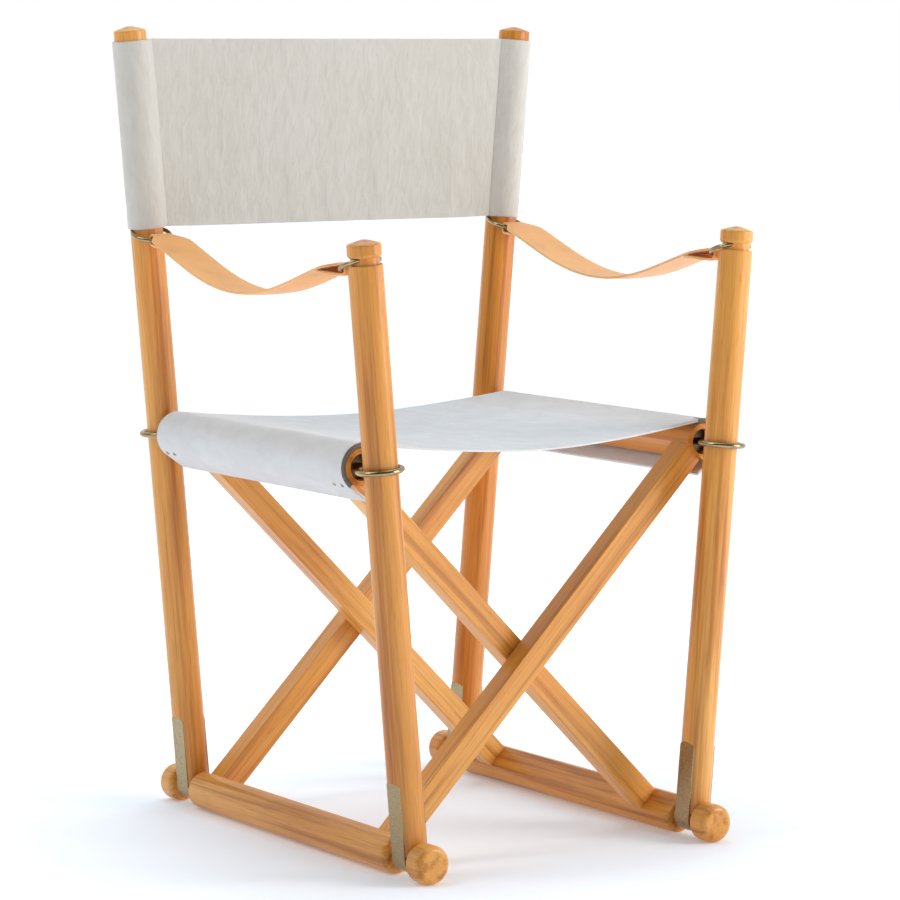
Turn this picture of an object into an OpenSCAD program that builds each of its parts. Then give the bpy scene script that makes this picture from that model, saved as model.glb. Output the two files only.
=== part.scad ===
// Folding chair of round wooden poles, crossed arms and canvas.
// It shuts sideways like scissors. Two U-shaped frames cross and turn on two pivot pins. Each
// frame has one bottom rail, one seat rail and two arms. The four poles turn on the necks of
// the bottom rails and slide through the rings that swivel in the ends of the seat rails.
// Millimetres. The front of the chair faces -Y, +Z is up, and the floor is at Z = 0.

/* [Overall] */
// height of the rear poles' tips above the floor
total_height = 870; // [840:5:900]
// length of a bottom rail, front to rear
bottom_rail_length = 535; // [520:5:560]
// distance between the bottom rails' axes
bottom_rail_spacing = 363.7; // [340:1:380]
// distance between the front and rear poles' axes
pole_spacing = 445; // [430:1:455]
// how far each pole leans outwards
pole_lean = 4.95; // [4.5:0.05:5.4]
// height of the front poles' tips above the floor
front_pole_height = 657; // [640:1:670]
// height of the seat rails' axes above the floor
seat_rail_height = 423.6; // [410:0.2:435]
// how far a seat rail's axis lies outside its poles' axes with the chair open
seat_rail_offset = 1.4; // [1.3:0.1:1.5]

/* [Poles] */
// diameter of a pole
pole_diameter = 36; // [35.6:0.1:36.2]
// diameter of the knob and of the cap on a pole
knob_diameter = 35.4; // [34:0.1:36]
// height of the knob below its rounded shoulder
knob_band = 11.9; // [10:0.1:13]
// slope of the shallow cone on a pole's end
cone_slope = 17; // [12:0.5:20]
// height of the groove below the knob
knob_groove_height = 7.2; // [6:0.2:8]
// diameter of a pole in that groove
knob_groove_diameter = 29.4; // [27:0.2:31]

/* [Rails] */
// diameter of a bottom rail
bottom_rail_diameter = 40.9; // [39:0.1:42]
// diameter of a bottom rail's neck under a pole
neck_diameter = 22.5; // [20:0.1:24]
// half the length of that neck
neck_half_length = 18.8; // [18.4:0.1:20]
// rounding of the neck's shoulders
shoulder_round = 6; // [3:0.5:7]
// diameter of a seat rail
seat_rail_diameter = 40; // [38:0.1:41]
// length of a seat rail
seat_rail_length = 380; // [376:1:384]
// diameter of the recess in a seat rail's end
recess_diameter = 28; // [26:0.2:28.4]
// depth of that recess down to the swivel plate
recess_depth = 12; // [8:0.5:16]

/* [Arms] */
// width of an arm, seen from the front
arm_width = 27.5; // [25:0.1:28]
// thickness of an arm, front to rear
arm_thickness = 26; // [24:0.1:26.5]
// gap between two crossing arms
arm_gap = 2.3; // [2.2:0.1:3]
// distance from a pole's axis to the nearest face of an outer arm
arm_set_back = 36.4; // [36:0.1:38]
// diameter of the round tenon on the lower end of an arm
tenon_diameter = 14; // [12:0.5:16]
// diameter of the short tenon on the upper end of an arm
short_tenon_diameter = 9; // [7:0.5:9]

/* [Metal fittings] */
// width of a foot strap
foot_strap_width = 24; // [20:0.5:24]
// thickness of a foot strap
foot_strap_thickness = 3; // [2.5:0.1:3.2]
// height of a foot strap above the bottom rail's axis
foot_strap_height = 83; // [70:1:90]
// outer radius of a seat ring
seat_ring_radius = 25.7; // [25.6:0.1:26]
// wire diameter of a seat ring
seat_ring_wire = 5.8; // [5.4:0.1:5.8]
// outer radius of an armrest ring
arm_ring_radius = 22.95; // [22:0.05:24]
// wire diameter of an armrest ring
arm_ring_wire = 4.5; // [4:0.1:5]
// how far an armrest ring hangs towards its strap
arm_ring_shift = 10.5; // [9:0.1:12]
// tilt of an armrest ring, down towards its strap
arm_ring_tilt = 18; // [14:0.5:20]
// height of the rear armrest rings along the poles, from the bottom rails' axes
rear_arm_ring_height = 628.9; // [624:0.1:629]
// diameter of a pivot pin
pivot_pin_diameter = 8; // [6:0.5:10]

/* [Canvas and leather] */
// thickness of the seat canvas
seat_canvas_thickness = 3; // [2:0.1:3.2]
// thickness of the doubled canvas hem round a seat rail
wrap_thickness = 5.6; // [4:0.1:6]
// sag of the seat in its middle
seat_sag = 17; // [8:1:20]
// length of the flap under a seat rail
flap_length = 27; // [22:0.5:32]
// slope of that flap
flap_slope = 36; // [35:0.5:44]
// thickness of the back canvas
back_canvas_thickness = 2.4; // [1.5:0.1:3]
// height of the back canvas
back_canvas_height = 205.5; // [195:0.5:210]
// outer diameter of a back sleeve
sleeve_diameter = 40.4; // [40:0.1:41]
// width of an armrest strap
arm_strap_width = 48; // [44:0.5:50]
// width of an armrest strap at its ends
arm_strap_end_width = 23; // [20:0.5:24]
// thickness of an armrest strap
arm_strap_thickness = 3; // [2.5:0.1:3.2]
// how far an armrest strap sags below the line between its ends
arm_strap_sag = 46.5; // [40:0.5:50]

/* [Hidden] */
$fn = 96;
LEFT = -1;
RIGHT = 1;
FRONT = -1;
REAR = 1;
ENDS = [FRONT, REAR];

// clearances
running = 0.1;   // radial clearance of parts that turn on each other
free = 0.35;     // gap between parts that pass each other
fitted = 0.05;   // gap all round a glued or pressed joint

// bottom rails
rail_x = bottom_rail_spacing / 2;
rail_z = bottom_rail_diameter / 2;
pole_y = pole_spacing / 2;
neck_r = neck_diameter / 2;
rail_end_round = 7;

// poles, measured along their axes from the bottom rails' axes
front_length = (front_pole_height - rail_z) / cos(pole_lean);
rear_length = (total_height - rail_z) / cos(pole_lean);
pole_foot = 6;
shoulder_r = 2.5;
tip_edge = 6;
tip_r = tip_edge / sin(cone_slope);
groove_top = front_length - knob_top(knob_band);
groove_bottom = groove_top - knob_groove_height;
front_ring_height = groove_bottom + knob_groove_height / 2;
knob_edge_round = 3.6;

// seat rails
seat_x = rail_x + (seat_rail_height - rail_z) * tan(pole_lean) + seat_rail_offset;
seat_z = seat_rail_height;
ring_height = (seat_z - rail_z) / cos(pole_lean);
plate_thickness = 4;
head_length = 4;
bore_r = 7.5;
shank_r = 4;

// crossed arms: the line from a bottom rail's axis to the opposite seat rail's axis
arm_rise = seat_z - rail_z;
arm_run = seat_x + rail_x;
arm_slope = atan2(arm_rise, arm_run);
arm_length = sqrt(arm_rise * arm_rise + arm_run * arm_run);
pivot_along = arm_length * rail_x / arm_run;
pivot_z = rail_z + pivot_along * sin(arm_slope);
bottom_flat = sqrt(rail_z * rail_z - arm_width * arm_width / 4);
seat_flat = sqrt(seat_rail_diameter * seat_rail_diameter - arm_width * arm_width) / 2;
arm_edge_round = 1.6;
tenon_length = 14;
short_tenon_length = 6;
short_tenon_inset = 6.5;
outer_arm_y = pole_y - arm_set_back - arm_thickness / 2;
inner_arm_y = outer_arm_y - arm_thickness - arm_gap;
pin_depth = 18;
washer_thickness = 2;
washer_r = 11;

// foot straps
strap_inner = neck_r + running;
strap_outer = strap_inner + foot_strap_thickness;
strap_top_r = 20;
strap_pin_r = 2;
strap_pin_height = 60;

// canvas round the seat rails
wrap_in = seat_rail_diameter / 2 + fitted;
wrap_out = wrap_in + wrap_thickness;
wrap_top_angle = 82;
tack_angle = 136;
tack_y = [165, 180];
tack_r = 0.8;
tack_length = 10;
panel_half = seat_x + wrap_out * cos(180 - wrap_top_angle) - free;
panel_z = seat_z + wrap_out * sin(wrap_top_angle) - 0.6;
sag_r = (panel_half * panel_half + seat_sag * seat_sag) / (2 * seat_sag);

// back canvas
sleeve_in = pole_diameter / 2 + 0.25;
sleeve_out = sleeve_diameter / 2;
sleeve_bottom = 631.7;
sleeve_top = 837.4;
seam_out = 23;
back_y = pole_y - 6.5;
back_bottom_z = 651;

// armrest straps; points are [distance from the middle towards the rear, height]
strap_ends = [ring_far(FRONT, front_ring_height), ring_far(REAR, rear_arm_ring_height)];
loop_in = 4.2;
loop_r = loop_in + arm_strap_thickness / 2;
loop_past = 1.8;
strap_tips = [
    strap_ends[0] + [-loop_past, loop_r + 0.5],
    strap_ends[1] + [loop_past, loop_r + 0.5]
];
strap_steps = 68;
strap_fullness = 1.45;
arm_strap_x = rail_x + (612 - rail_z) * tan(pole_lean) + 1;
strap_end_y = abs(strap_ends[0][0]) + loop_past + loop_in + arm_strap_thickness;

// the point of an armrest ring nearest the middle of the chair, seen from the side
function ring_far(end, height) =
    let (reach = arm_ring_shift + arm_ring_radius - arm_ring_wire / 2)
    [
        end * (pole_y - reach * cos(arm_ring_tilt)),
        rail_z + height * cos(pole_lean) - reach * sin(arm_ring_tilt)
    ];

// a point of the sagging strap, a share t of the way from its front tip to its rear tip
function sag_point(t) =
    strap_tips[0] + t * (strap_tips[1] - strap_tips[0])
    - [0, arm_strap_sag * pow(1 - pow(2 * t - 1, 2), strap_fullness)];

// both edges of a band of thickness t along a line, as one outline
function band(line, t) =
    let (
        n = len(line) - 1,
        side = [for (i = [0:n])
            let (v = line[min(i + 1, n)] - line[max(i - 1, 0)])
            [-v[1], v[0]] / norm(v) * t / 2]
    )
    concat(
        [for (i = [0:n]) line[i] + side[i]],
        [for (i = [n:-1:0]) line[i] - side[i]]
    );

// ---------- placing ----------

// stands on the neck of a bottom rail, with Z along the leaning pole
module on_pole(side, end) {
    translate([side * rail_x, end * pole_y, rail_z])
        rotate([0, side * pole_lean, 0])
            children();
}

// starts on a bottom rail's axis, with Z along the arm that rises to the other side
module on_arm(from_side, y) {
    translate([from_side * rail_x, y, rail_z])
        rotate([0, -from_side * (90 - arm_slope), 0])
            children();
}

// a bar that lies along Y, with its middle at the origin
module lying() {
    rotate([90, 0, 0])
        children();
}

// half profile of a round bar from z0 to z1 with rounded ends
module bar_profile(r, z0, z1, round0, round1) {
    translate([0, z0])
        square([r - round0, z1 - z0]);
    translate([r - round1 - 0.01, z0 + round0])
        square([round1 + 0.01, z1 - z0 - round0 - round1]);
    translate([0, z0 + round0])
        square([r, z1 - z0 - round0 - round1]);
    translate([0, z1 - round1])
        square([r - round1, round1]);
    translate([r - round0, z0 + round0])
        circle(round0);
    translate([r - round1, z1 - round1])
        circle(round1);
}

// a round bar from z0 to z1 with rounded ends
module round_bar(r, z0, z1, round0, round1) {
    rotate_extrude()
        intersection() {
            bar_profile(r, z0, z1, round0, round1);
            translate([0, z0])
                square([r, z1 - z0]);
        }
}

// ---------- poles ----------

// the wood that a foot strap is let into, and the round seat for the neck
module pole_foot_cuts() {
    lying()
        cylinder(r = strap_inner, h = 2 * pole_diameter, center = true);
    for (s = [LEFT, RIGHT])
        foot_strap_leg(s, pole_diameter, fitted);
    rotate([0, 90, 0])
        translate([-strap_pin_height, 0, 0])
            cylinder(r = strap_pin_r + fitted, h = 2 * pole_diameter, center = true);
}

// half profile of a pole's end: a band with a rounded lower edge, a rounded shoulder, and a
// shallow cone whose tip is part of a sphere
module knob_profile(band, lower_round) {
    r = knob_diameter / 2;
    corner = [r - shoulder_r, band];
    cone_from = corner + shoulder_r * [sin(cone_slope), cos(cone_slope)];
    cone_to = [tip_edge, cone_from[1] + (cone_from[0] - tip_edge) * tan(cone_slope)];
    translate(corner)
        circle(shoulder_r);
    translate([r - lower_round, lower_round])
        circle(lower_round);
    translate([0, lower_round])
        square([r, band - lower_round]);
    square([r - lower_round, band]);
    polygon([[0, 0], [cone_from[0], band - 1], cone_from, cone_to, [0, cone_to[1]]]);
    intersection() {
        translate([0, knob_top(band) - tip_r])
            circle(tip_r);
        translate([0, cone_to[1] - 1])
            square([tip_edge, tip_r]);
    }
}

// height of the tip above the foot of a knob with that band
function knob_top(band) =
    band + shoulder_r * cos(cone_slope)
    + (knob_diameter / 2 - shoulder_r * (1 - sin(cone_slope)) - tip_edge) * tan(cone_slope)
    + tip_r * (1 - cos(cone_slope));

// the knob or cap on a pole's end, whose tip is at height top along the pole
module knob(top, band, lower_round) {
    translate([0, 0, top - knob_top(band)])
        rotate_extrude()
            intersection() {
                knob_profile(band, lower_round);
                square([knob_diameter, knob_top(band) + 1]);
            }
}

module front_pole(side) {
    color("peru")
        on_pole(side, FRONT)
            difference() {
                union() {
                    round_bar(pole_diameter / 2, pole_foot, groove_bottom, 0.5, 1.2);
                    cylinder(d = knob_groove_diameter, h = groove_top + 1);
                    knob(front_length, knob_band, knob_edge_round);
                }
                translate([0, 0, -50])
                    cylinder(r = pole_diameter, h = 50 + pole_foot);
                pole_foot_cuts();
                arm_ring_at(front_ring_height, FRONT, 0.35);
            }
}

module rear_pole(side) {
    color("peru")
        on_pole(side, REAR)
            difference() {
                union() {
                    round_bar(pole_diameter / 2, pole_foot, rear_length - 14, 0.5, 0.8);
                    knob(rear_length, 12, 0.5);
                }
                pole_foot_cuts();
                arm_ring_at(rear_arm_ring_height, REAR, 0.35);
            }
}

// ---------- foot straps ----------

// one leg of a strap, or the pocket that it lies in when it is made wider and thicker
module foot_strap_leg(s, thickness, extra) {
    half = foot_strap_width / 2 + extra;
    translate([s > 0 ? strap_inner : -strap_inner - thickness, 0, 0])
        rotate([90, 0, 90])
            linear_extrude(thickness)
                intersection() {
                    translate([-half, 0])
                        square([2 * half, foot_strap_height + extra]);
                    translate([0, foot_strap_height - strap_top_r + extra])
                        circle(strap_top_r);
                    translate([-half, -1])
                        square([2 * half, foot_strap_height + 2]);
                }
    translate([s > 0 ? strap_inner : -strap_inner - thickness, -half, 0])
        cube([thickness, 2 * half, foot_strap_height - strap_top_r]);
}

// a brass strap bent in a U under the neck of a bottom rail
module foot_strap(side, end) {
    color("darkgoldenrod")
        on_pole(side, end)
            difference() {
                union() {
                    for (s = [LEFT, RIGHT])
                        foot_strap_leg(s, foot_strap_thickness, 0);
                    lying()
                        difference() {
                            cylinder(r = strap_outer, h = foot_strap_width, center = true);
                            translate([-50, 0, -50])
                                cube([100, 50, 100]);
                        }
                }
                lying()
                    cylinder(r = strap_inner, h = 2 * foot_strap_width, center = true);
                rotate([0, 90, 0])
                    translate([-strap_pin_height, 0, 0])
                        cylinder(r = strap_pin_r + fitted, h = 4 * strap_outer, center = true);
            }
}

// pins through both legs of each strap and the pole between them
module foot_strap_pins(side) {
    color("darkgoldenrod")
        for (end = ENDS)
            on_pole(side, end)
                rotate([0, 90, 0])
                    translate([-strap_pin_height, 0, 0])
                        cylinder(r = strap_pin_r, h = 2 * strap_outer, center = true);
}

// ---------- rails ----------

// a bottom rail: a round bar with two necks, and a flat that faces its own frame's arms
module bottom_rail(side, arm_y) {
    half = bottom_rail_length / 2;
    inside = pole_y - neck_half_length;
    outside = pole_y + neck_half_length;
    color("peru")
        difference() {
            translate([side * rail_x, 0, rail_z])
                lying() {
                    cylinder(r = neck_r, h = 2 * outside + 1, center = true);
                    round_bar(rail_z, -inside, inside, shoulder_round, shoulder_round);
                    round_bar(rail_z, outside, half, shoulder_round, rail_end_round);
                    round_bar(rail_z, -half, -outside, rail_end_round, shoulder_round);
                }
            on_arm(side, 0)
                translate([-50, -inside, bottom_flat])
                    cube([100, 2 * inside, 50]);
            for (y = [-arm_y, arm_y])
                on_arm(side, y)
                    translate([0, 0, bottom_flat - tenon_length - 0.5])
                        cylinder(d = tenon_diameter + 2 * fitted, h = 50);
        }
}

// everything cut into one end of a seat rail for a ring bolt and its plate
module swivel_bore() {
    plate_face = seat_rail_length / 2 - recess_depth;
    translate([0, 0, plate_face - plate_thickness])
        cylinder(d = recess_diameter, h = 50);
    translate([0, 0, plate_face - plate_thickness - head_length - 8])
        cylinder(r = bore_r, h = 50);
    for (a = [0, 180])
        rotate(a)
            translate([10, 0, plate_face - plate_thickness - 10])
                cylinder(r = 1.3, h = 50);
}

// a seat rail: a round bar with a flat that faces its own frame's arms
module seat_rail(side, arm_y) {
    color("peru")
        difference() {
            translate([side * seat_x, 0, seat_z])
                lying()
                    round_bar(seat_rail_diameter / 2, -seat_rail_length / 2,
                              seat_rail_length / 2, 1.2, 1.2);
            on_arm(-side, 0)
                translate([-50, -seat_rail_length, arm_length - seat_flat - 50])
                    cube([100, 2 * seat_rail_length, 50]);
            for (end = ENDS)
                on_arm(-side, end * (arm_y - short_tenon_inset))
                    translate([0, 0, arm_length - seat_flat - 20])
                        cylinder(d = short_tenon_diameter + 2 * fitted,
                                 h = 20 + short_tenon_length + 0.4);
            for (end = ENDS)
                translate([side * seat_x, 0, seat_z])
                    rotate([-end * 90, 0, 0])
                        swivel_bore();
            for (y = tack_y, end = ENDS)
                tack_hole(side, end * y);
        }
}

// ---------- arms ----------

module arm_section() {
    x = arm_width / 2 - arm_edge_round;
    y = arm_thickness / 2 - arm_edge_round;
    square([2 * x, arm_thickness], center = true);
    square([arm_width, 2 * y], center = true);
    for (sx = [-x, x], sy = [-y, y])
        translate([sx, sy])
            circle(arm_edge_round);
}

// an arm with a round tenon on each end and a blind bore for the pivot pin
module arm(from_side, y, pin_side, pin_gap) {
    length = arm_length - bottom_flat - seat_flat;
    inset = y > 0 ? -short_tenon_inset : short_tenon_inset;
    color("peru")
        on_arm(from_side, y)
            difference() {
                translate([0, 0, bottom_flat]) {
                    linear_extrude(length)
                        arm_section();
                    translate([0, 0, -tenon_length])
                        cylinder(d = tenon_diameter, h = tenon_length + 1);
                    translate([0, inset, length - 1])
                        cylinder(d = short_tenon_diameter, h = short_tenon_length + 1);
                }
                translate([0, pin_side * arm_thickness / 2, pivot_along])
                    rotate([pin_side * 90, 0, 0])
                        translate([0, 0, -1])
                            cylinder(r = pivot_pin_diameter / 2 + pin_gap, h = pin_depth + 1.5);
            }
}

// the two pins that the crossing arms turn on
module pivot_pins() {
    middle = outer_arm_y - arm_thickness / 2 - arm_gap / 2;
    color("silver")
        for (end = ENDS)
            translate([0, end * middle, pivot_z])
                lying()
                    cylinder(d = pivot_pin_diameter, h = 2 * pin_depth + arm_gap, center = true);
}

// thin washers on the pins, between the arms
module pivot_washers() {
    face = outer_arm_y - arm_thickness / 2;
    color("darkgoldenrod")
        for (end = ENDS)
            translate([0, end * (face - washer_thickness / 2), pivot_z])
                lying()
                    difference() {
                        cylinder(r = washer_r, h = washer_thickness, center = true);
                        cylinder(r = pivot_pin_diameter / 2 + fitted, h = 10, center = true);
                    }
}

// ---------- seat rings ----------

// one ring bolt: a ring round a pole, on a shank that turns in the swivel plate
module seat_ring(side, end) {
    plate_back = seat_rail_length / 2 - recess_depth - plate_thickness;
    wire_r = seat_ring_wire / 2;
    ring_r = seat_ring_radius - wire_r;
    translate([side * seat_x, 0, seat_z]) {
        translate([0, end * pole_y, 0])
            rotate([0, side * pole_lean, 0])
                rotate_extrude()
                    translate([ring_r, 0])
                        circle(wire_r);
        rotate([-end * 90, 0, 0]) {
            translate([0, 0, plate_back - 2])
                cylinder(r = shank_r, h = pole_y - ring_r - plate_back + 2 - 1);
            translate([0, 0, pole_y - ring_r - 1.2])
                cylinder(r1 = shank_r, r2 = 2.4, h = 1.8);
            translate([0, 0, plate_back - head_length - 0.3])
                cylinder(r = bore_r - 0.8, h = head_length);
        }
    }
}

module seat_rings(side) {
    color("darkgoldenrod")
        for (end = ENDS)
            seat_ring(side, end);
}

// round plates that hold the ring bolts in the seat rails' ends
module swivel_plates(side) {
    plate_face = seat_rail_length / 2 - recess_depth;
    color("dimgray")
        for (end = ENDS)
            translate([side * seat_x, 0, seat_z])
                rotate([-end * 90, 0, 0])
                    difference() {
                        translate([0, 0, plate_face - plate_thickness + fitted])
                            cylinder(d = recess_diameter - 2 * fitted,
                                     h = plate_thickness - fitted);
                        cylinder(r = shank_r + 0.08, h = 300);
                        for (a = [0, 180])
                            rotate(a)
                                translate([10, 0, 0])
                                    cylinder(r = 1.3, h = 300);
                    }
}

// two small screws through each swivel plate
module swivel_screws(side) {
    plate_face = seat_rail_length / 2 - recess_depth;
    color("silver")
        for (end = ENDS, a = [0, 180])
            translate([side * seat_x, 0, seat_z])
                rotate([-end * 90, 0, 0])
                    rotate(a)
                        translate([10, 0, 0]) {
                            translate([0, 0, plate_face - 12])
                                cylinder(r = 1.25, h = 12.1);
                            translate([0, 0, plate_face + 0.05])
                                cylinder(r = 2.3, h = 1.2);
                        }
}

// ---------- seat canvas ----------

// the canvas hem round a seat rail, with the flap that hangs past the tacks
module seat_wrap(side) {
    color("ghostwhite")
        difference() {
            translate([side * seat_x, 0, seat_z])
                mirror([side > 0 ? 0 : 1, 0, 0])
                    lying()
                        linear_extrude(seat_rail_length, center = true)
                            wrap_section();
            for (y = tack_y, end = ENDS)
                tack_hole(side, end * y);
        }
}

// the hem seen along the right seat rail, with its flap running down towards the middle
module wrap_section() {
    hem_end = flap_slope - 90;
    difference() {
        circle(wrap_out);
        circle(wrap_in);
        wrap_opening(wrap_top_angle + 16, 360 + hem_end);
    }
    rotate(flap_slope)
        translate([-flap_length, -wrap_out + 0.1])
            square([flap_length + 1, wrap_thickness - 0.2]);
}

// the part of the hem's circle that stays open, between two angles
module wrap_opening(from, to) {
    reach = 3 * wrap_out;
    middle = (from + to) / 2;
    polygon([
        [0, 0],
        reach * [cos(from), sin(from)],
        reach * [cos(middle), sin(middle)],
        reach * [cos(to), sin(to)]
    ]);
}

// the seat between the two rails, sagging as part of a large cylinder
module seat_panel() {
    t = seat_canvas_thickness;
    color("ghostwhite")
        lying()
            linear_extrude(seat_rail_length, center = true)
                intersection() {
                    difference() {
                        translate([0, panel_z - seat_sag + sag_r])
                            circle(sag_r + t, $fn = 720);
                        translate([0, panel_z - seat_sag + sag_r])
                            circle(sag_r, $fn = 720);
                    }
                    translate([-panel_half, panel_z - 2 * seat_sag])
                        square([2 * panel_half, 2 * seat_sag + 10]);
                }
}

// places Z along a tack that is driven towards a seat rail's axis
module tack_place(side, y) {
    translate([side * seat_x, y, seat_z])
        rotate([0, side * tack_angle, 0])
            translate([0, 0, wrap_out])
                children();
}

// the hole that a tack is driven into
module tack_hole(side, y) {
    tack_place(side, y)
        translate([0, 0, -15])
            cylinder(r = tack_r + fitted, h = 20);
}

// brass tacks that hold the hem to the rail
module canvas_tacks(side) {
    color("darkgoldenrod")
        for (y = tack_y, end = ENDS)
            tack_place(side, end * y) {
                translate([0, 0, -tack_length])
                    cylinder(r = tack_r, h = tack_length + 0.2);
                translate([0, 0, fitted])
                    cylinder(r1 = 2.4, r2 = 1.4, h = 1);
            }
}

// ---------- back canvas ----------

// a sleeve over a rear pole, with the seam that joins it to the panel
module back_sleeve(side) {
    color("linen")
        on_pole(side, REAR)
            translate([0, 0, sleeve_bottom])
                difference() {
                    union() {
                        cylinder(r = sleeve_out, h = sleeve_top - sleeve_bottom);
                        translate([side > 0 ? -seam_out : 0, back_y - pole_y - 2.4, 0])
                            cube([seam_out, 4.8, sleeve_top - sleeve_bottom]);
                    }
                    translate([0, 0, -1])
                        cylinder(r = sleeve_in, h = back_canvas_height + 10);
                }
}

// half the width of the back panel at height z
function back_half(z) = rail_x + (z - rail_z) * tan(pole_lean) - seam_out / cos(pole_lean) - free;

module back_panel() {
    top_z = back_bottom_z + back_canvas_height;
    color("linen")
        translate([0, back_y, 0])
            lying()
                linear_extrude(back_canvas_thickness, center = true)
                    polygon([
                        [-back_half(back_bottom_z), back_bottom_z],
                        [back_half(back_bottom_z), back_bottom_z],
                        [back_half(top_z), top_z],
                        [-back_half(top_z), top_z]
                    ]);
}

// ---------- armrests ----------

// an armrest ring, passing through a pole at a height along it; extra makes its channel
module arm_ring_at(height, end, extra) {
    wire_r = arm_ring_wire / 2;
    translate([0, 0, height])
        rotate([end * arm_ring_tilt, 0, 0])
            translate([0, -end * arm_ring_shift, 0])
                rotate_extrude()
                    translate([arm_ring_radius - wire_r, 0])
                        circle(wire_r + extra);
}

// how high an armrest ring sits along its pole
function arm_ring_height(end) = end == FRONT ? front_ring_height : rear_arm_ring_height;

module armrest_rings(side) {
    color("darkgoldenrod")
        for (end = ENDS)
            on_pole(side, end)
                arm_ring_at(arm_ring_height(end), end, 0);
}

// the leather's middle line from the side: fold, loop, sagging strap, loop, fold
function strap_line() =
    let (
        front = strap_tips[0] - [0, loop_r],
        rear = strap_tips[1] - [0, loop_r]
    )
    concat(
        [for (k = [fold_steps:-1:1]) fold_point(FRONT, k)],
        [for (a = [-75:15:75]) front + loop_r * [-cos(a), sin(a)]],
        [for (k = [0:strap_steps]) sag_point(k / strap_steps)],
        [for (a = [75:-15:-75]) rear + loop_r * [cos(a), sin(a)]],
        [for (k = [1:fold_steps]) fold_point(REAR, k)]
    );

// the strap's point k steps from its front or rear tip
function strap_point(end, k) = sag_point(end == FRONT ? k / strap_steps : 1 - k / strap_steps);

// where the fold under the strap is sewn on, counted in steps from the tip
fold_steps = 6;
fold_gap = arm_strap_thickness + 0.6;

// one point of the fold, k steps from the loop
function fold_point(end, k) =
    let (share = (1 + cos(180 * k / fold_steps)) / 2)
    strap_point(end, k) - [0, fold_gap + share * (2 * loop_r - fold_gap)];

// the sewn joint between the strap and the end of its fold
module strap_joint(end) {
    upper = strap_point(end, fold_steps - 0.5);
    lower = fold_point(end, fold_steps - 0.5);
    polygon([upper - [1.5, 0], upper + [1.5, 0], lower + [1.5, 0], lower - [1.5, 0]]);
}

// plan of the leather: full width, with narrowed ends that fit inside the rings
module strap_plan() {
    w = arm_strap_width / 2;
    e = arm_strap_end_width / 2;
    y0 = strap_end_y - 10;
    y1 = strap_end_y - 34;
    corners = [[e, -strap_end_y - 1], [e, -y0], [w, -y1], [w, y1], [e, y0], [e, strap_end_y + 1]];
    polygon(concat(corners, [for (i = [5:-1:0]) [-corners[i][0], corners[i][1]]]));
}

module armrest_strap(side) {
    color("sandybrown")
        difference() {
            translate([side * arm_strap_x, 0, 0])
                intersection() {
                    rotate([90, 0, 90])
                        linear_extrude(2 * arm_strap_width, center = true) {
                            polygon(band(strap_line(), arm_strap_thickness));
                            for (end = ENDS)
                                strap_joint(end);
                        }
                    translate([0, 0, 500])
                        linear_extrude(300)
                            strap_plan();
                }
            for (end = ENDS)
                on_pole(side, end)
                    arm_ring_at(arm_ring_height(end), end, 0.4);
        }
}

front_pole(LEFT);  // front_left_pole
rear_pole(LEFT);  // rear_left_pole
front_pole(RIGHT);  // front_right_pole
rear_pole(RIGHT);  // rear_right_pole
foot_strap(LEFT, FRONT);  // front_left_foot_strap
foot_strap(LEFT, REAR);  // rear_left_foot_strap
foot_strap(RIGHT, FRONT);  // front_right_foot_strap
foot_strap(RIGHT, REAR);  // rear_right_foot_strap
foot_strap_pins(LEFT);  // left_foot_strap_pins
foot_strap_pins(RIGHT);  // right_foot_strap_pins
bottom_rail(LEFT, outer_arm_y);  // left_bottom_rail
bottom_rail(RIGHT, inner_arm_y);  // right_bottom_rail
seat_rail(LEFT, inner_arm_y);  // left_seat_rail
seat_rail(RIGHT, outer_arm_y);  // right_seat_rail
arm(LEFT, -outer_arm_y, REAR, fitted);  // front_outer_arm
arm(LEFT, outer_arm_y, FRONT, fitted);  // rear_outer_arm
arm(RIGHT, -inner_arm_y, FRONT, running);  // front_inner_arm
arm(RIGHT, inner_arm_y, REAR, running);  // rear_inner_arm
pivot_pins();
pivot_washers();
seat_rings(LEFT);  // left_seat_rings
seat_rings(RIGHT);  // right_seat_rings
swivel_plates(LEFT);  // left_swivel_plates
swivel_plates(RIGHT);  // right_swivel_plates
swivel_screws(LEFT);  // left_swivel_screws
swivel_screws(RIGHT);  // right_swivel_screws
seat_wrap(LEFT);  // left_seat_wrap
seat_wrap(RIGHT);  // right_seat_wrap
seat_panel();
canvas_tacks(LEFT);  // left_canvas_tacks
canvas_tacks(RIGHT);  // right_canvas_tacks
back_sleeve(LEFT);  // left_back_sleeve
back_sleeve(RIGHT);  // right_back_sleeve
back_panel();
armrest_rings(LEFT);  // left_armrest_rings
armrest_rings(RIGHT);  // right_armrest_rings
armrest_strap(LEFT);  // left_armrest_strap
armrest_strap(RIGHT);  // right_armrest_strap
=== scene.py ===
import math
import bpy
import numpy as np
from mathutils import Euler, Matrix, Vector, noise


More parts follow.
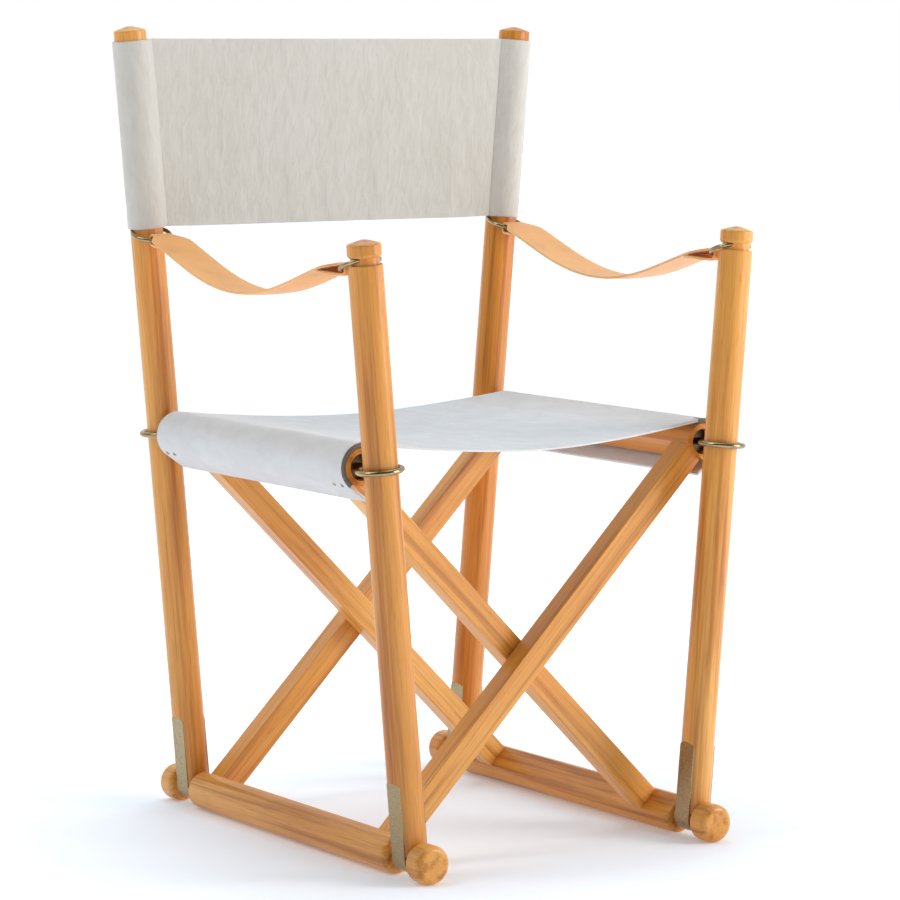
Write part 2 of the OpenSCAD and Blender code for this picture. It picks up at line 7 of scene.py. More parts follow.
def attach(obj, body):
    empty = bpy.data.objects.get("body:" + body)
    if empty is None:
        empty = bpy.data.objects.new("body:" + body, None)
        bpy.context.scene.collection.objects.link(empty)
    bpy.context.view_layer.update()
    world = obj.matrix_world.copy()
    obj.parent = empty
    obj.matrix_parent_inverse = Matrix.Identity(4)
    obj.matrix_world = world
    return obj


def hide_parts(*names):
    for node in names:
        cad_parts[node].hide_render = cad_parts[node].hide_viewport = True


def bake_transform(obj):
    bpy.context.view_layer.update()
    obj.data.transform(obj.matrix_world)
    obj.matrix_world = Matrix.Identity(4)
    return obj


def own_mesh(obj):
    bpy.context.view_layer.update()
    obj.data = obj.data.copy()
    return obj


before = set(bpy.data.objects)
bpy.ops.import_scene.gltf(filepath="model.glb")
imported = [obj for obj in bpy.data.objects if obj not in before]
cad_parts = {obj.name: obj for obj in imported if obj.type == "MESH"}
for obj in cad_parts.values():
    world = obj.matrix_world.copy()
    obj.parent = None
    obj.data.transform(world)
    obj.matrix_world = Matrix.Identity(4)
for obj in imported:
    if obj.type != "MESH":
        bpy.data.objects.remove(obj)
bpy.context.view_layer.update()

# ---------------------------------------------------------------- driving dimensions, metres
LEAN = math.radians(4.95)      # a pole's lean outwards
RAIL_X, RAIL_Z = 0.18185, 0.02045   # a bottom rail's axis
POLE_Y = 0.2225                # a pole's axis, front and rear
SEAT_X, SEAT_Z = 0.218167, 0.4236   # a seat rail's axis
SEAT_LENGTH = 0.380            # a seat rail, and the seat canvas on it
CANVAS = 0.0028                # thickness of the seat canvas
HEM_IN, HEM_OUT = 0.0203, 0.0256    # the doubled hem's inner and outer radius
FLAP, FLAP_SLOPE = 0.027, math.radians(36)    # the flap under a seat rail
SEAT_SAG = (0.0195, 0.0155)    # in the seat's middle, at its front and rear edges
ARM_SLOPE = math.radians(45.22)
SLEEVE_R = 0.0192              # middle of the sleeve's cloth round a rear pole
SLEEVE_FROM, SLEEVE_TO = 0.6317, 0.8374   # along the pole, from the bottom rail's axis
SEAM_OUT, SEAM_Y = 0.023, 0.216     # the seam between sleeve and panel
BACK_LOW, BACK_HIGH = 0.6510, 0.8565
BACK_BOW = 0.004               # how far the panel's middle bulges backwards
STRAP_WIDTH, STRAP_END_WIDTH, STRAP_THICK = 0.048, 0.023, 0.0027
STRAP_SAG, STRAP_FULLNESS = 0.0465, 1.45
STRAP_MIDDLE_Z = 0.612         # a strap runs above the poles' axes at this height
STRAP_LOOP = 0.0057            # radius of the leather's middle line round a ring's wire
FRONT_RING, REAR_RING = 0.6171, 0.6289    # along the poles, from the bottom rails' axes
RING_R, RING_OFFSET = 0.0207, 0.0105      # an armrest ring, and its centre from the pole's axis
RING_TILT = math.radians(18)

LEFT, RIGHT, FRONT, REAR = -1, 1, -1, 1
SIDE_NAMES = {LEFT: "left", RIGHT: "right"}
END_NAMES = {FRONT: "front", REAR: "rear"}


# ---------------------------------------------------------------- places on the chair

def pole_point(side, s, across=0.0, forward=0.0, end=REAR):
    """A point beside a pole: s along its axis, across towards the chair's middle."""
    x = RAIL_X + s * math.sin(LEAN) - across * math.cos(LEAN)
    z = RAIL_Z + s * math.cos(LEAN) + across * math.sin(LEAN)
    return Vector((side * x, end * POLE_Y - forward, z))


# ---------------------------------------------------------------- mesh helpers

def grid_piece(name, points, u, v, close=False):
    """A sheet from a rows x columns array of points, with its own lengths as UVs in metres."""
    rows, cols = points.shape[:2]
    mesh = bpy.data.meshes.new(name)
    faces = []
    for i in range(rows - 1):
        for j in range(cols - 1):
            a = i * cols + j
            faces.append((a, a + 1, a + cols + 1, a + cols))
    mesh.from_pydata(points.reshape(-1, 3).tolist(), [], faces)
    layer = mesh.uv_layers.new(name="cloth")
    uv = np.stack([np.broadcast_to(u, (rows, cols)), np.broadcast_to(v, (rows, cols))], -1)
    uv = uv.reshape(-1, 2)
    for loop in mesh.loops:
        layer.data[loop.index].uv = uv[loop.vertex_index]
    mesh.shade_smooth()
    piece = bpy.data.objects.new(name, mesh)
    bpy.context.scene.collection.objects.link(piece)
    return piece


def with_edges(rows, inset=0.0006):
    """Adds a narrow row at each end, which keeps a thick sheet's edges crisp."""
    ends = [[rows[0], rows[0] + inset], [rows[-1] - inset, rows[-1]]]
    return np.concatenate([ends[0], rows[1:-1], ends[1]])


def thicken(piece, thickness, levels=0):
    """Gives a sheet its thickness, then subdivides it."""
    solid = piece.modifiers.new("Thickness", "SOLIDIFY")
    solid.thickness = thickness
    solid.offset = 0
    if levels:
        smooth = piece.modifiers.new("Smooth", "SUBSURF")
        smooth.levels = levels
        smooth.render_levels = levels


def lengths(line):
    """Distance along a line of points, from its start to each point."""
    step = np.linalg.norm(np.diff(line, axis=0), axis=1)
    return np.concatenate([[0], np.cumsum(step)])


def side_name(side, rest):
    """A piece's name, such as Left_back_sleeve."""
    return f"{SIDE_NAMES[side].title()}_{rest}"


# ---------------------------------------------------------------- materials

WHITE = (1, 1, 1)
HONEY = (0.88, 0.410, 0.082)
DARK_HONEY = (0.74, 0.300, 0.048)
PALE_HONEY = (0.96, 0.510, 0.140)


class Graph:
    """Short names for the shader nodes of one material."""

    def __init__(self, name, color, roughness, metallic=0.0):
        self.material = bpy.data.materials.new(name)
        self.material.use_nodes = True
        self.tree = self.material.node_tree
        self.tree.nodes.clear()
        self.bsdf = self.add("ShaderNodeBsdfPrincipled")
        self.bsdf.inputs["Base Color"].default_value = (*color, 1)
        self.bsdf.inputs["Roughness"].default_value = roughness
        self.bsdf.inputs["Metallic"].default_value = metallic
        out = self.add("ShaderNodeOutputMaterial")
        self.link(self.bsdf.outputs[0], out.inputs[0])
        self.material.diffuse_color = (*color, 1)

    def add(self, kind, **settings):
        """Adds a node, with its properties set."""
        node = self.tree.nodes.new(kind)
        for key, value in settings.items():
            setattr(node, key, value)
        return node

    def link(self, source, target):
        """Joins an output socket to an input socket."""
        self.tree.links.new(source, target)

    def set(self, name, value):
        """Sets one value of the shader."""
        self.bsdf.inputs[name].default_value = value

    def coords(self, scale, rotation=(0, 0, 0), location=(0, 0, 0), uv=False):
        """Object or cloth coordinates, turned and stretched."""
        if uv:
            source = self.add("ShaderNodeUVMap", uv_map="cloth").outputs[0]
        else:
            source = self.add("ShaderNodeTexCoord").outputs["Object"]
        turn = self.add("ShaderNodeMapping", vector_type="POINT")
        turn.inputs["Rotation"].default_value = rotation
        turn.inputs["Location"].default_value = location
        self.link(source, turn.inputs[0])
        stretch = self.add("ShaderNodeMapping", vector_type="POINT")
        stretch.inputs["Scale"].default_value = scale
        self.link(turn.outputs[0], stretch.inputs[0])
        return stretch.outputs[0]

    def noise(self, vector, detail=3.0, roughness=0.5, distortion=0.0):
        """Fractal noise from 0 to 1, one feature to a unit of the vector."""
        node = self.add("ShaderNodeTexNoise")
        self.link(vector, node.inputs["Vector"])
        node.inputs["Scale"].default_value = 1.0
        node.inputs["Detail"].default_value = detail
        node.inputs["Roughness"].default_value = roughness
        node.inputs["Distortion"].default_value = distortion
        return node.outputs[0]

    def yarns(self, vector, pitch, direction):
        """Parallel yarns, about one to each pitch, a little uneven."""
        node = self.add("ShaderNodeTexWave", wave_type="BANDS", bands_direction=direction)
        self.link(vector, node.inputs["Vector"])
        node.inputs["Scale"].default_value = 1 / (math.pi * pitch)
        node.inputs["Distortion"].default_value = 0.35
        node.inputs["Detail"].default_value = 1
        return node.outputs["Fac"]

    def math(self, operation, a, b):
        """One operation on two numbers or sockets."""
        node = self.add("ShaderNodeMath", operation=operation)
        for socket, value in zip(node.inputs, (a, b)):
            if isinstance(value, (int, float)):
                socket.default_value = value
            else:
                self.link(value, socket)
        return node.outputs[0]

    def ramp(self, factor, stops):
        """Colour ramp through (position, colour) stops."""
        node = self.add("ShaderNodeValToRGB")
        elements = node.color_ramp.elements
        while len(elements) < len(stops):
            elements.new(0.5)
        for element, (position, color) in zip(elements, stops):
            element.position = position
            element.color = (*color, 1)
        self.link(factor, node.inputs[0])
        return node.outputs[0]

    def mix(self, factor, a, b, blend="MIX"):
        """Mixes two colours, each a tuple or a socket."""
        node = self.add("ShaderNodeMix", data_type="RGBA", blend_type=blend)
        for socket, value in ((node.inputs[0], factor), (node.inputs[6], a), (node.inputs[7], b)):
            if isinstance(value, tuple):
                socket.default_value = (*value, 1)
            elif isinstance(value, (int, float)):
                socket.default_value = value
            else:
                self.link(value, socket)
        return node.outputs[2]

    def shade(self, base, factor, height, low, high):
        """Multiplies a colour by a dark one, given as (position, colour), where height is low."""
        return self.mix(factor, base, self.ramp(height, [low, (high, WHITE)]), "MULTIPLY")

    def color(self, socket):
        """Sets the shader's colour from a socket."""
        self.link(socket, self.bsdf.inputs["Base Color"])

    def roughness(self, socket, low, high):
        """Sets the shader's roughness between two values."""
        node = self.add("ShaderNodeMapRange")
        node.inputs["To Min"].default_value = low
        node.inputs["To Max"].default_value = high
        self.link(socket, node.inputs[0])
        self.link(node.outputs[0], self.bsdf.inputs["Roughness"])

    def bump(self, *layers):
        """Bump layers of (height socket, depth in metres), chained into the shader."""
        last = None
        for height, depth in layers:
            node = self.add("ShaderNodeBump")
            node.inputs["Strength"].default_value = 1.0
            node.inputs["Distance"].default_value = depth
            self.link(height, node.inputs["Height"])
            if last is not None:
                self.link(last, node.inputs["Normal"])
            last = node.outputs[0]
        self.link(last, self.bsdf.inputs["Normal"])


def wood(name, grain, seed, depth):
    """Satin varnished honey-coloured hardwood, with its grain along a direction.

    Depth, from 0 to 1, makes a piece of timber darker and redder than the palest one. On the seat
    rails it is also painted shade, for the shade that falls on them.
    """
    g = Graph(name, HONEY, 0.4)
    turn = Vector(grain).rotation_difference(Vector((0, 0, 1))).to_euler()
    place = (seed * 0.37, seed * 0.61, seed * 0.23)
    broad = g.noise(g.coords((16, 16, 2.2), turn, place), detail=3, distortion=0.6)
    figure = g.noise(g.coords((95, 95, 2.6), turn, place), detail=4, roughness=0.55)
    fibre = g.noise(g.coords((420, 420, 9), turn, place), detail=3, roughness=0.6)
    pores = g.noise(g.coords((800, 800, 34), turn, place), detail=1)
    base = g.ramp(broad, [(0.28, DARK_HONEY), (0.5, HONEY), (0.72, PALE_HONEY)])
    # painted shade as well as tone: depth darkens a whole piece, and on the seat rails it stands
    # for the shade that falls on them
    base = g.mix(depth, base, (0.80, 0.64, 0.31), "MULTIPLY")
    base = g.shade(base, 0.9, figure, (0.34, (0.64, 0.48, 0.28)), 0.50)
    base = g.shade(base, 0.6, fibre, (0.32, (0.76, 0.64, 0.48)), 0.54)
    base = g.shade(base, 0.4, pores, (0.30, (0.66, 0.52, 0.38)), 0.38)
    g.color(base)
    g.roughness(figure, 0.30, 0.44)
    g.set("Coat Weight", 0.12)
    g.set("Coat Roughness", 0.15)
    g.bump((fibre, 0.00005), (pores, 0.00003))
    return g.material


def metal(name, color, dark, roughness, spots=60.0):
    """Metal that is darker in uneven patches, from use; on the brass of the rings, tacks and
    washers the darker colour and patches are also painted reflection of dark surroundings.
    """
    g = Graph(name, color, roughness, metallic=1.0)
    patches = g.noise(g.coords((spots, spots, spots)), detail=5, roughness=0.62)
    scratches = g.noise(g.coords((900, 900, 90)), detail=2)
    g.color(g.ramp(patches, [(0.34, dark), (0.62, color)]))
    g.roughness(patches, roughness + 0.14, roughness - 0.05)
    g.bump((scratches, 0.00002), (patches, 0.00002))
    return g.material


def canvas(name, warm, cool, pitch, wrinkles, crinkle):
    """Plain woven canvas with uneven yarns and the fine wrinkles of washed cloth, with painted
    shade in the wrinkles' hollows.
    """
    g = Graph(name, warm, 0.9)
    over = g.coords((1, 1, 1), uv=True)
    weave = g.math("MULTIPLY", g.yarns(over, pitch, "X"), g.yarns(over, pitch, "Y"))
    slub_x = g.noise(g.coords((26, 900, 1), uv=True), detail=2, roughness=0.6)
    slub_y = g.noise(g.coords((900, 26, 1), uv=True), detail=2, roughness=0.6)
    slubs = g.math("ADD", slub_x, slub_y)
    creases = g.noise(g.coords(wrinkles, rotation=(0, 0, 0.10), uv=True), detail=4,
                      roughness=0.55, distortion=0.5)
    stains = g.noise(g.coords((9, 9, 9), uv=True), detail=3)
    base = g.ramp(stains, [(0.3, warm), (0.7, cool)])
    base = g.shade(base, 0.5, slubs, (0.35, (0.84, 0.82, 0.79)), 0.65)
    # painted shade: the colour darkens where the wrinkles are low, as shade in their hollows
    base = g.shade(base, 0.6, creases, (0.3, (0.90, 0.885, 0.87)), 0.62)
    base = g.shade(base, 0.22, weave, (0.0, (0.72, 0.70, 0.67)), 0.35)
    g.color(base)
    g.roughness(slubs, 0.96, 0.84)
    g.set("Sheen Weight", 0.12)
    g.set("Sheen Roughness", 0.5)
    g.bump((creases, crinkle), (slubs, 0.00010), (weave, 0.00018))
    return g.material


def cut_edge(name, color):
    """The cut, frayed edge of canvas."""
    g = Graph(name, color, 0.95)
    threads = g.noise(g.coords((700, 700, 700)), detail=3)
    g.color(g.ramp(threads, [(0.3, tuple(0.6 * c for c in color)), (0.7, color)]))
    g.bump((threads, 0.0003))
    return g.material


def leather(name, tone, pale, rough):
    """Natural leather: fine grain, soft blotches, and paler burnished edges."""
    g = Graph(name, tone, rough)
    blotches = g.noise(g.coords((22, 22, 22)), detail=4, distortion=0.6)
    pores = g.noise(g.coords((950, 950, 950)), detail=3, roughness=0.65)
    folds = g.noise(g.coords((60, 330, 60)), detail=3, distortion=0.8)
    base = g.ramp(blotches, [(0.28, tuple(0.86 * c for c in tone)), (0.5, tone),
                             (0.8, tuple(min(1, 1.10 * c) for c in tone))])
    edge = g.add("ShaderNodeAttribute", attribute_name="edge").outputs["Fac"]
    base = g.mix(g.math("MULTIPLY", edge, 0.4), base, pale)
    base = g.shade(base, 0.5, pores, (0.3, (0.80, 0.76, 0.72)), 0.6)
    g.color(base)
    g.roughness(blotches, rough - 0.06, rough + 0.10)
    g.bump((blotches, 0.0003), (folds, 0.00012), (pores, 0.00009))
    return g.material


# ---------------------------------------------------------------- the CAD nodes' materials

def dress(node, material):
    """Puts a material on a CAD node in place of its plain one."""
    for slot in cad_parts[node].material_slots:
        slot.material = material


arm_up = Vector((math.cos(ARM_SLOPE), 0, math.sin(ARM_SLOPE)))
arm_down = Vector((-math.cos(ARM_SLOPE), 0, math.sin(ARM_SLOPE)))
pole_up = {side: (side * math.sin(LEAN), 0, math.cos(LEAN)) for side in (LEFT, RIGHT)}
timber = {    # the direction of the grain, a seed, and the depth of the colour
    "front_left_pole": (pole_up[LEFT], 1, 0.75),
    "rear_left_pole": (pole_up[LEFT], 2, 0.4),
    "front_right_pole": (pole_up[RIGHT], 3, 0.0),
    "rear_right_pole": (pole_up[RIGHT], 4, 1.0),
    "left_bottom_rail": ((0, 1, 0), 5, 0.05),
    "right_bottom_rail": ((0, 1, 0), 6, 0.3),
    # painted shade: the seat rails' deep colour stands for the shade that falls on them
    "left_seat_rail": ((0, 1, 0), 7, 0.8),
    "right_seat_rail": ((0, 1, 0), 8, 0.8),
    "front_outer_arm": (arm_up, 9, 0.1),
    "rear_outer_arm": (arm_up, 10, 0.4),
    "front_inner_arm": (arm_down, 11, 0.1),
    "rear_inner_arm": (arm_down, 12, 0.3),
}
for node, (grain, seed, depth) in timber.items():
    dress(node, wood("Wood_" + node, grain, seed, depth))

# painted reflection: this brass is made darker, overall and in patches, to stand for the dark
# surroundings that polished brass reflects
brass = metal("Brass_rings", (0.46, 0.35, 0.19), (0.26, 0.19, 0.10), 0.18)
old_brass = metal("Brass_straps", (0.44, 0.34, 0.19), (0.32, 0.235, 0.125), 0.30, 420)
# painted shade: the swivel plates are near black so that the seat rails' end recesses read as
# dark hollows
recess_shade_metal = metal("Recess_shade_metal", (0.14, 0.10, 0.06), (0.06, 0.045, 0.03), 0.35)
steel = metal("Steel", (0.42, 0.41, 0.40), (0.20, 0.19, 0.18), 0.35)
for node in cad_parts:
    if "foot_strap" in node:
        dress(node, old_brass)
    elif "rings" in node or "tacks" in node or node == "pivot_washers":
        dress(node, brass)
    elif "swivel" in node:
        dress(node, recess_shade_metal)
    elif node == "pivot_pins":
        dress(node, steel)

seat_cloth = canvas("Seat_canvas", (0.82, 0.815, 0.81), (0.85, 0.85, 0.85), 0.0006,
                    (55, 30, 1), 0.0008)
back_cloth = canvas("Back_canvas", (0.735, 0.69, 0.62), (0.765, 0.725, 0.66), 0.0006,
                    (110, 45, 1), 0.0016)
# painted shade: the cut edge is given a dark colour for the shade round the seat rails' ends
shaded_canvas_edge = cut_edge("Canvas_edge_shaded", (0.25, 0.23, 0.21))
tan_leather = leather("Leather", (0.93, 0.42, 0.125), (0.95, 0.58, 0.26), 0.42)


# ---------------------------------------------------------------- seat canvas

def seat_section(y):
    """The seat's middle line at one depth: flap, hem, sagging seat, hem, flap."""
    r = HEM_OUT - CANVAS / 2
    top = SEAT_Z + r
    turn = np.linspace(-math.pi / 2 - FLAP_SLOPE, -1.5 * math.pi, 50)
    hem = [(SEAT_X - r * math.cos(a), SEAT_Z + r * math.sin(a)) for a in turn]
    along = np.array([-math.cos(FLAP_SLOPE), -math.sin(FLAP_SLOPE)])
    flap = [tuple(np.array(hem[0]) + along * t) for t in np.linspace(FLAP, 0.001, 16)]
    half = flap + hem
    edge = half[-1][0]
    forward = 0.5 - y / SEAT_LENGTH
    sag = SEAT_SAG[1] + (SEAT_SAG[0] - SEAT_SAG[1]) * forward
    seat = []
    for x in np.linspace(edge, -edge, 130)[1:-1]:
        seat.append((x, top - sag * (1 - abs(x / edge) ** 1.7)))
    other = [(-x, z) for x, z in reversed(half)]
    return np.array(half + seat + other)


def seat_canvas():
    """The seat with both hems and flaps, slightly rippled where it hangs free."""
    ys = with_edges(np.linspace(-SEAT_LENGTH / 2, SEAT_LENGTH / 2, 100), 0.0012)
    lines = [seat_section(y) for y in ys]
    points = np.zeros((len(lines[0]), len(ys), 3))
    for j, (y, line) in enumerate(zip(ys, lines)):
        for i, (x, z) in enumerate(line):
            loose = max(0.0, 1 - (abs(x) / 0.2) ** 2)
            ripple = 0.0008 * loose * noise.noise(Vector((x * 9, y * 14, 3.7)))
            hang = max(0.0, min(1, (SEAT_Z - 0.012 - z) / 0.02))
            flare = 0.0012 * hang * noise.noise(Vector((y * 16, 8.1, x * 5)))
            points[i, j] = (x + np.sign(x) * flare, y, z + ripple)
    along = lengths(lines[0])
    piece = grid_piece("Seat_canvas", points, along[:, None], ys[None, :])
    piece.data.materials.append(seat_cloth)
    thicken(piece, CANVAS)
    return piece


def hem_end(side, end):
    """The doubled hem's cut edge, which shows round the end of a seat rail, painted dark for the
    shade there.
    """
    r = (HEM_IN + HEM_OUT) / 2
    turn = np.linspace(-math.pi / 2 - FLAP_SLOPE, -1.5 * math.pi - 0.3, 50)
    ys = np.linspace(-0.0004, 0.012, 4) - SEAT_LENGTH / 2
    points = np.array([[(side * (SEAT_X - r * math.cos(a)), -end * y, SEAT_Z + r * math.sin(a))
                        for y in ys] for a in turn])
    name = side_name(side, END_NAMES[end] + "_hem_end")
    piece = grid_piece(name, points, turn[:, None] * -r, ys[None, :])
    piece.data.materials.append(shaded_canvas_edge)
    thicken(piece, HEM_OUT - HEM_IN - 0.0004)
    return piece


seat = seat_canvas()
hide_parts("left_seat_wrap", "right_seat_wrap", "seat_panel")
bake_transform(seat)
for side, frame_body in ((LEFT, "inner_frame"), (RIGHT, "outer_frame")):
    for end in (FRONT, REAR):
        cut = hem_end(side, end)
        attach(cut, frame_body)


# ---------------------------------------------------------------- back canvas

def sleeve_section():
    """The sleeve's middle line round a pole, seen along the pole, ending twice at the seam."""
    seam = (SEAM_OUT, POLE_Y - SEAM_Y)
    reach = math.hypot(*seam)
    facing = math.atan2(seam[1], seam[0])
    open_by = math.acos(SLEEVE_R / reach)
    turn = np.linspace(facing + open_by, facing + 2 * math.pi - open_by, 40)
    line = [(SLEEVE_R * math.cos(a), SLEEVE_R * math.sin(a)) for a in turn]
    seam = np.array(seam)
    lead = [tuple(seam + (np.array(line[0]) - seam) * t) for t in np.linspace(0, 0.8, 4)]
    tail = [tuple(seam + (np.array(line[-1]) - seam) * t) for t in np.linspace(0.8, 0, 4)]
    return np.array(lead + line + tail)


def back_sleeve(side):
    """One sleeve of the back, slightly slack round its rear pole."""
    line = sleeve_section()
    around = lengths(line)
    heights = np.linspace(SLEEVE_FROM, SLEEVE_TO, 60)
    points = np.zeros((len(line), len(heights), 3))
    for i, (across, forward) in enumerate(line):
        out = np.array([across, forward]) / SLEEVE_R
        for j, s in enumerate(heights):
            slack = 0.0006 * noise.noise(Vector((across * 60, forward * 60, s * 14 + side * 5)))
            slack += 0.0004 * noise.noise(Vector((i * 0.9, side * 3.0, s * 40)))
            a, f = across + out[0] * abs(slack), forward + out[1] * abs(slack)
            points[i, j] = pole_point(side, s, a, f)
    piece = grid_piece(side_name(side, "back_sleeve"), points, around[:, None], heights[None, :])
    piece.data.materials.append(back_cloth)
    thicken(piece, 0.0016, levels=1)
    return piece


def back_half(side):
    """Half of the back panel, from its sleeve's seam to the middle of the chair."""
    shares = with_edges(np.linspace(0, 1, 110))
    levels = with_edges(np.linspace(0, 1, 110))
    points = np.zeros((len(shares), len(levels), 3))
    u = np.zeros((len(shares), len(levels)))
    v = np.zeros((len(shares), len(levels)))
    for j, t in enumerate(levels):
        s = SLEEVE_FROM + (SLEEVE_TO - SLEEVE_FROM) * t
        seam = pole_point(side, s, SEAM_OUT, POLE_Y - SEAM_Y)
        z = BACK_LOW + (BACK_HIGH - BACK_LOW) * t
        for i, k in enumerate(shares):
            x = seam.x * (1 - k)
            height = seam.z + (z - seam.z) * min(1, k * 6)
            wave = noise.noise(Vector((x * 34, z * 7, 1.3))) * 0.0010
            wave += noise.noise(Vector((x * 90 + z * 22, z * 16, 5.1))) * 0.0005
            wave *= min(1, k * 12)
            bow = BACK_BOW * (1 - (x / seam.x) ** 2)
            points[i, j] = (x, SEAM_Y + bow + wave, height)
            u[i, j] = x
            v[i, j] = z
    piece = grid_piece(side_name(side, "back_panel"), points, u, v)
    piece.data.materials.append(back_cloth)
    thicken(piece, 0.0020)
    return piece


for side, word in SIDE_NAMES.items():
    sleeve = back_sleeve(side)
    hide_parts(word + "_back_sleeve")
    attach(sleeve, word + "_poles")
    panel = back_half(side)
    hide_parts("back_panel")
    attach(panel, word + "_poles")
    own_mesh(panel)


# ---------------------------------------------------------------- armrest straps

def ring_far(end, height):
    """The point of an armrest ring nearest the middle of the chair, seen from the side."""
    reach = RING_OFFSET + RING_R
    return np.array([end * (POLE_Y - reach * math.cos(RING_TILT)),
                     RAIL_Z + height * math.cos(LEAN) - reach * math.sin(RING_TILT)])


def sag_point(t):
    """A share t of the way along the sagging strap, from its front tip to its rear tip."""
    rise = STRAP_LOOP + 0.0005
    front = ring_far(FRONT, FRONT_RING) + (-0.0018, rise)
    rear = ring_far(REAR, REAR_RING) + (0.0018, rise)
    drop = STRAP_SAG * (1 - (2 * t - 1) ** 2) ** STRAP_FULLNESS
    return front + t * (rear - front) - (0, drop)


def strap_line():
    """The leather's middle line seen from the side: fold, loop, sag, loop, fold."""
    r = STRAP_LOOP
    steps, folded = 136, 11
    arcs = np.radians(np.linspace(-75, 75, 13))
    front_arc = [sag_point(0) + (-r * math.cos(a), r * math.sin(a) - r) for a in arcs]
    rear_arc = [sag_point(1) + (r * math.cos(a), r * math.sin(a) - r) for a in arcs[::-1]]

    def fold(end):
        """The part under the strap, from its loop to where it is sewn on."""
        points = []
        for k in range(1, folded + 1):
            share = (1 + math.cos(math.pi * k / folded)) / 2
            gap = STRAP_THICK + 0.0004 + share * (2 * r - STRAP_THICK - 0.0004)
            along = k / steps if end == FRONT else 1 - k / steps
            points.append(sag_point(along) - (0, gap))
        return points

    sag = [sag_point(k / steps) for k in range(steps + 1)]
    return np.array(fold(FRONT)[::-1] + front_arc + sag + rear_arc + fold(REAR))


def strap_half_width(y):
    """Half the strap's width, which narrows to its loops between two places along the chair."""
    full_at, narrow_at = 0.1698, 0.1918
    end, full = STRAP_END_WIDTH / 2, STRAP_WIDTH / 2
    t = min(1, max(0, (narrow_at - abs(y)) / (narrow_at - full_at)))
    return end + (full - end) * (3 * t * t - 2 * t ** 3)


def armrest_strap(side):
    """One strap, slightly cupped across its full width, with its edges marked for colour."""
    line = strap_line()
    along = lengths(line)
    across = np.array([-1, -0.96, -0.85, -0.6, -0.3, 0, 0.3, 0.6, 0.85, 0.96, 1])
    points = np.zeros((len(line), len(across), 3))
    middle = RAIL_X + (STRAP_MIDDLE_Z - RAIL_Z) * math.tan(LEAN) + 0.001
    for i, (y, z) in enumerate(line):
        half = strap_half_width(y)
        full = min(1, max(0, (0.17 - abs(y)) / 0.05))
        for j, k in enumerate(across):
            cup = 0.0011 * k * k * full
            points[i, j] = (side * (middle + k * half), y, z + cup)
    name = side_name(side, "armrest_strap")
    piece = grid_piece(name, points, along[:, None], across[None, :] * STRAP_WIDTH / 2)
    edge = piece.data.attributes.new("edge", "FLOAT", "POINT")
    values = np.broadcast_to(np.clip((np.abs(across) - 0.8) * 5, 0, 1), (len(line), len(across)))
    edge.data.foreach_set("value", values.reshape(-1).astype(np.float32))
    piece.data.materials.append(tan_leather)
    thicken(piece, STRAP_THICK, levels=1)
    return piece


for side, word in SIDE_NAMES.items():
    strap = armrest_strap(side)
    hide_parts(word + "_armrest_strap")
    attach(strap, word + "_poles")
    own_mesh(strap)


# ---------------------------------------------------------------- floor, light and camera

def floor():
    """A pale floor that glows as painted light, faintly under the chair, which lifts its shade,
    and more strongly further out, where it brightens into the white background.
    """
    reach = 30
    corners = [(-reach, -reach, 0), (reach, -reach, 0), (reach, reach, 0), (-reach, reach, 0)]
    mesh = bpy.data.meshes.new("Floor")
    mesh.from_pydata(corners, [], [(0, 1, 2, 3)])
    piece = bpy.data.objects.new("Floor", mesh)
    bpy.context.scene.collection.objects.link(piece)
    g = Graph("Floor", (0.84, 0.87, 0.93), 0.9)
    g.set("Specular IOR Level", 0.1)
    # painted light: the floor's glow, strength 0.19 near the middle rising to 0.64 further out
    g.set("Emission Color", (0.98, 0.99, 1.0, 1))
    far = g.add("ShaderNodeVectorMath", operation="LENGTH")
    g.link(g.coords((1, 1, 1)), far.inputs[0])
    fade = g.add("ShaderNodeMapRange")
    fade.inputs["From Min"].default_value = 0.30
    fade.inputs["From Max"].default_value = 0.95
    fade.inputs["To Min"].default_value = 0.19
    fade.inputs["To Max"].default_value = 0.64
    g.link(far.outputs["Value"], fade.inputs[0])
    g.link(fade.outputs[0], g.bsdf.inputs["Emission Strength"])
    mesh.materials.append(g.material)


def softbox(name, place, aim, size, power, color=WHITE):
    """A rectangular light of a size in metres and a power in watts, aimed at a point."""
    light = bpy.data.lights.new(name, "AREA")
    light.shape = "RECTANGLE"
    light.size, light.size_y = size
    light.energy = power
    light.color = color
    lamp = bpy.data.objects.new(name, light)
    lamp.location = place
    lamp.rotation_euler = (Vector(aim) - Vector(place)).to_track_quat("-Z", "Y").to_euler()
    bpy.context.scene.collection.objects.link(lamp)


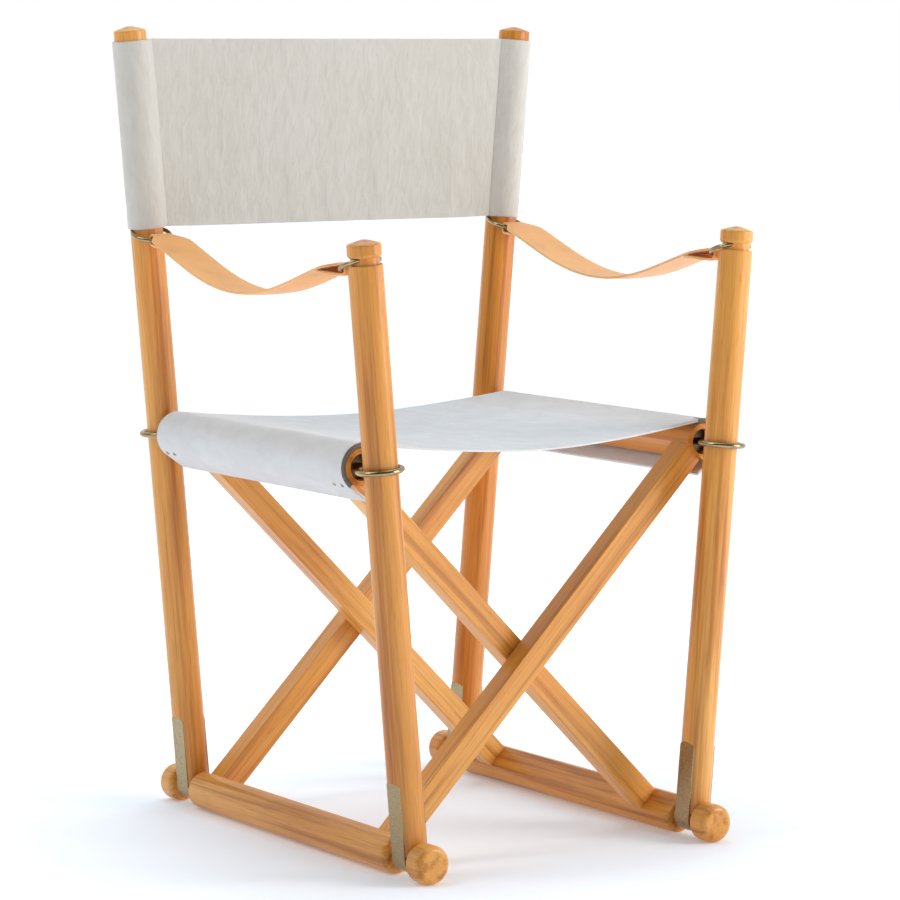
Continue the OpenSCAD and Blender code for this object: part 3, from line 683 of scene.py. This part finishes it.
def studio():
    """White all round, cooler overhead, and dim on the side that the chair faces."""
    world = bpy.data.worlds.new("Studio")
    world.use_nodes = True
    tree = world.node_tree
    background = tree.nodes["Background"]
    place = tree.nodes.new("ShaderNodeTexCoord")
    split = tree.nodes.new("ShaderNodeSeparateXYZ")
    tree.links.new(place.outputs["Generated"], split.inputs[0])
    front = tree.nodes.new("ShaderNodeVectorMath")
    front.operation = "DOT_PRODUCT"
    front.inputs[1].default_value = (-0.553, -0.833, 0.0)
    tree.links.new(place.outputs["Generated"], front.inputs[0])
    dim = tree.nodes.new("ShaderNodeMapRange")
    dim.interpolation_type = "SMOOTHSTEP"
    dim.inputs["From Min"].default_value = -0.8
    dim.inputs["From Max"].default_value = 0.6
    dim.inputs["To Min"].default_value = 1.0
    dim.inputs["To Max"].default_value = 0.12
    tree.links.new(front.outputs["Value"], dim.inputs[0])
    cool = tree.nodes.new("ShaderNodeValToRGB")
    cool.color_ramp.elements[0].position = 0.15
    cool.color_ramp.elements[0].color = (1, 1, 1, 1)
    cool.color_ramp.elements[1].position = 0.7
    cool.color_ramp.elements[1].color = (0.88, 0.96, 1.0, 1)
    tree.links.new(split.outputs["Z"], cool.inputs[0])
    tree.links.new(cool.outputs[0], background.inputs["Color"])
    tree.links.new(dim.outputs[0], background.inputs["Strength"])
    bpy.context.scene.world = world
    chair = (0, 0, 0.4)
    softbox("Right_box", (2.2, -2.1, 1.3), chair, (1.4, 1.6), 58, (1, 0.98, 0.95))
    softbox("Left_box", (-1.8, 0.3, 2.5), chair, (0.9, 1.6), 18)
    softbox("Top_box", (0.3, 0.4, 2.6), chair, (1.6, 1.6), 20, (0.56, 0.78, 1))


def camera():
    """A long lens at the front left, level with the chair's top and looking slightly down."""
    lens = bpy.data.cameras.new("Camera")
    lens.sensor_width = 36
    lens.lens = 147.63
    lens.clip_end = 100
    view = bpy.data.objects.new("Camera", lens)
    view.location = (-2.21417, -3.33514, 0.85369)
    view.rotation_euler = Euler((math.radians(83.68), 0, math.radians(-33.77)))
    bpy.context.scene.collection.objects.link(view)
    bpy.context.scene.camera = view
    bpy.context.scene.view_settings.view_transform = "Standard"


floor()
studio()
camera()
